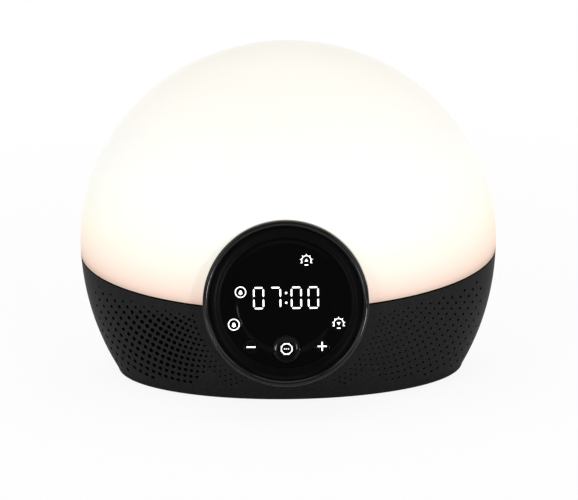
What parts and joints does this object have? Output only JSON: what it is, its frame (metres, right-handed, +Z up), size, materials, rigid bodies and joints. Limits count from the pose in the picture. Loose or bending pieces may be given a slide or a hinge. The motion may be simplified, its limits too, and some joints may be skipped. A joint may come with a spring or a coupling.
{
  "type": "sunrise alarm clock",
  "caption": "Bedside wake-up light with an opal dome, a dark perforated base and a round control drum with a digital clock and push keys.",
  "frame": {"origin": "on the table under the middle of the bounding box", "axes": "+X to the viewer's right along the width, +Y to the back, +Z up; the control drum faces -Y and leans back"},
  "size_m": [0.212, 0.1248, 0.171],
  "materials": {
    "opal_dome": "opal white, softly lit from inside",
    "base_shell": "fine matte texture, dark charcoal",
    "drum_shell": "smooth satin charcoal",
    "face_gloss": "polished black",
    "key_large": "polished black with a raised ring",
    "key_minus": "polished black",
    "key_plus": "polished black",
    "key_alarm": "polished black",
    "key_sunset": "polished black",
    "board_control": "green solder resist",
    "module_black": "black block with a smooth front",
    "switch_black": "black",
    "lamp_white": "white lens",
    "plate_black": "plain moulded black",
    "tray_white": "bright white, diffuse",
    "spreader_metal": "brushed",
    "board_light": "white solder resist",
    "emitter_amber": "phosphor yellow",
    "cloth_black": "thin open weave",
    "gasket_foam": "soft foam",
    "basket_metal": "black pressed steel",
    "cone_paper": "pressed fibre",
    "magnet_metal": "zinc plated",
    "cover_black": "plain moulded black",
    "feet_rubber": "soft matte",
    "board_main": "green solder resist",
    "parts_dark": "dark moulded cases",
    "jack_black": "black",
    "contact_metal": "nickel plated",
    "screw_metal": "zinc plated",
    "lead_black": "smooth insulation"
  },
  "bodies": {
    "lamp": {"diffuser_dome": "opal_dome", "base_housing": "base_shell", "control_drum": "drum_shell", "display_face": "face_gloss", "control_board": "board_control", "display_module": "module_black", "key_switches": "switch_black", "icon_lamps": "lamp_white", "drum_backplate": "plate_black", "reflector_tray": "tray_white", "heat_spreader": "spreader_metal", "light_board": "board_light", "light_emitters": "emitter_amber", "speaker_cloth": "cloth_black", "speaker_gasket": "gasket_foam", "speaker_basket": "basket_metal", "speaker_cone": "cone_paper", "speaker_magnet": "magnet_metal", "bottom_cover": "cover_black", "rubber_feet": "feet_rubber", "main_board": "board_main", "main_board_parts": "parts_dark", "power_jack": "jack_black", "jack_contact": "contact_metal", "control_board_screws": "screw_metal", "backplate_screws": "screw_metal", "light_board_screws": "screw_metal", "speaker_screws": "screw_metal", "tray_screws": "screw_metal", "cover_screws": "screw_metal", "main_board_screws": "screw_metal", "display_lead": "lead_black", "light_lead": "lead_black", "speaker_lead": "lead_black", "power_lead": "lead_black"},
    "select_button": {"select_button": "key_large"},
    "minus_button": {"minus_button": "key_minus"},
    "plus_button": {"plus_button": "key_plus"},
    "alarm_button": {"alarm_button": "key_alarm"},
    "sunset_button": {"sunset_button": "key_sunset"}
  },
  "joints": [
    {"name": "select_press", "type": "slide", "parent": "lamp", "child": "select_button", "axis": [0, 0.9744, -0.225], "range_m": [0, 0.0008], "stiffness_N_per_m": 200, "springref_m": -0.002},
    {"name": "minus_press", "type": "slide", "parent": "lamp", "child": "minus_button", "axis": [0, 0.9744, -0.225], "range_m": [0, 0.0005], "stiffness_N_per_m": 200, "springref_m": -0.002},
    {"name": "plus_press", "type": "slide", "parent": "lamp", "child": "plus_button", "axis": [0, 0.9744, -0.225], "range_m": [0, 0.0005], "stiffness_N_per_m": 200, "springref_m": -0.002},
    {"name": "alarm_press", "type": "slide", "parent": "lamp", "child": "alarm_button", "axis": [0, 0.9744, -0.225], "range_m": [0, 0.0005], "stiffness_N_per_m": 200, "springref_m": -0.002},
    {"name": "sunset_press", "type": "slide", "parent": "lamp", "child": "sunset_button", "axis": [0, 0.9744, -0.225], "range_m": [0, 0.0005], "stiffness_N_per_m": 200, "springref_m": -0.002}
  ]
}
